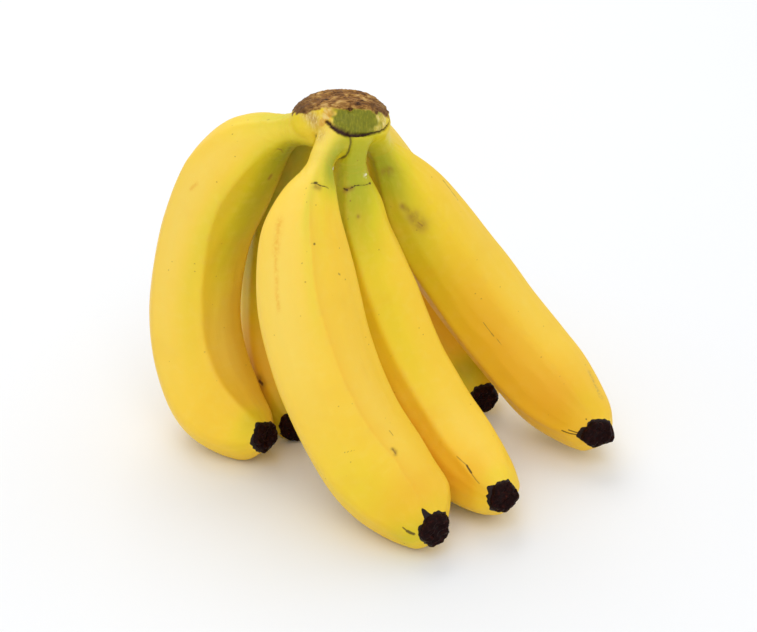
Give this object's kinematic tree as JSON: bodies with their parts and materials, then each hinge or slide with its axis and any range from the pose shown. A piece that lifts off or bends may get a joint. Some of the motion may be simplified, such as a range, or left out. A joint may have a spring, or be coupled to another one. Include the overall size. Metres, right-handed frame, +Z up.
{
  "type": "bunch of bananas",
  "caption": "Hand of ripe bananas on a cut crown, standing on its curved finger ends, with short green stalks and dark dry blossom ends",
  "frame": {"origin": "middle of the footprint's bounding box, on the floor", "axes": "+Z up to the cut crown, +X to the right and +Y to the back as the hand is seen with its blossom ends towards the viewer"},
  "size_m": [0.1934, 0.1726, 0.1533],
  "materials": {
    "peel": "satin, waxy ripe peel",
    "stalk": "satin green stalk with a dry brown cut face",
    "blossom_end": "rough, dry, nearly black"
  },
  "bodies": {
    "root": {"crown": "stalk", "banana_left": "peel", "banana_back_left": "peel", "banana_front": "peel", "banana_middle": "peel", "banana_right": "peel", "banana_back_right": "peel", "blossom_end_left": "blossom_end", "blossom_end_back_left": "blossom_end", "blossom_end_front": "blossom_end", "blossom_end_middle": "blossom_end", "blossom_end_right": "blossom_end", "blossom_end_back_right": "blossom_end"}
  },
  "joints": []
}
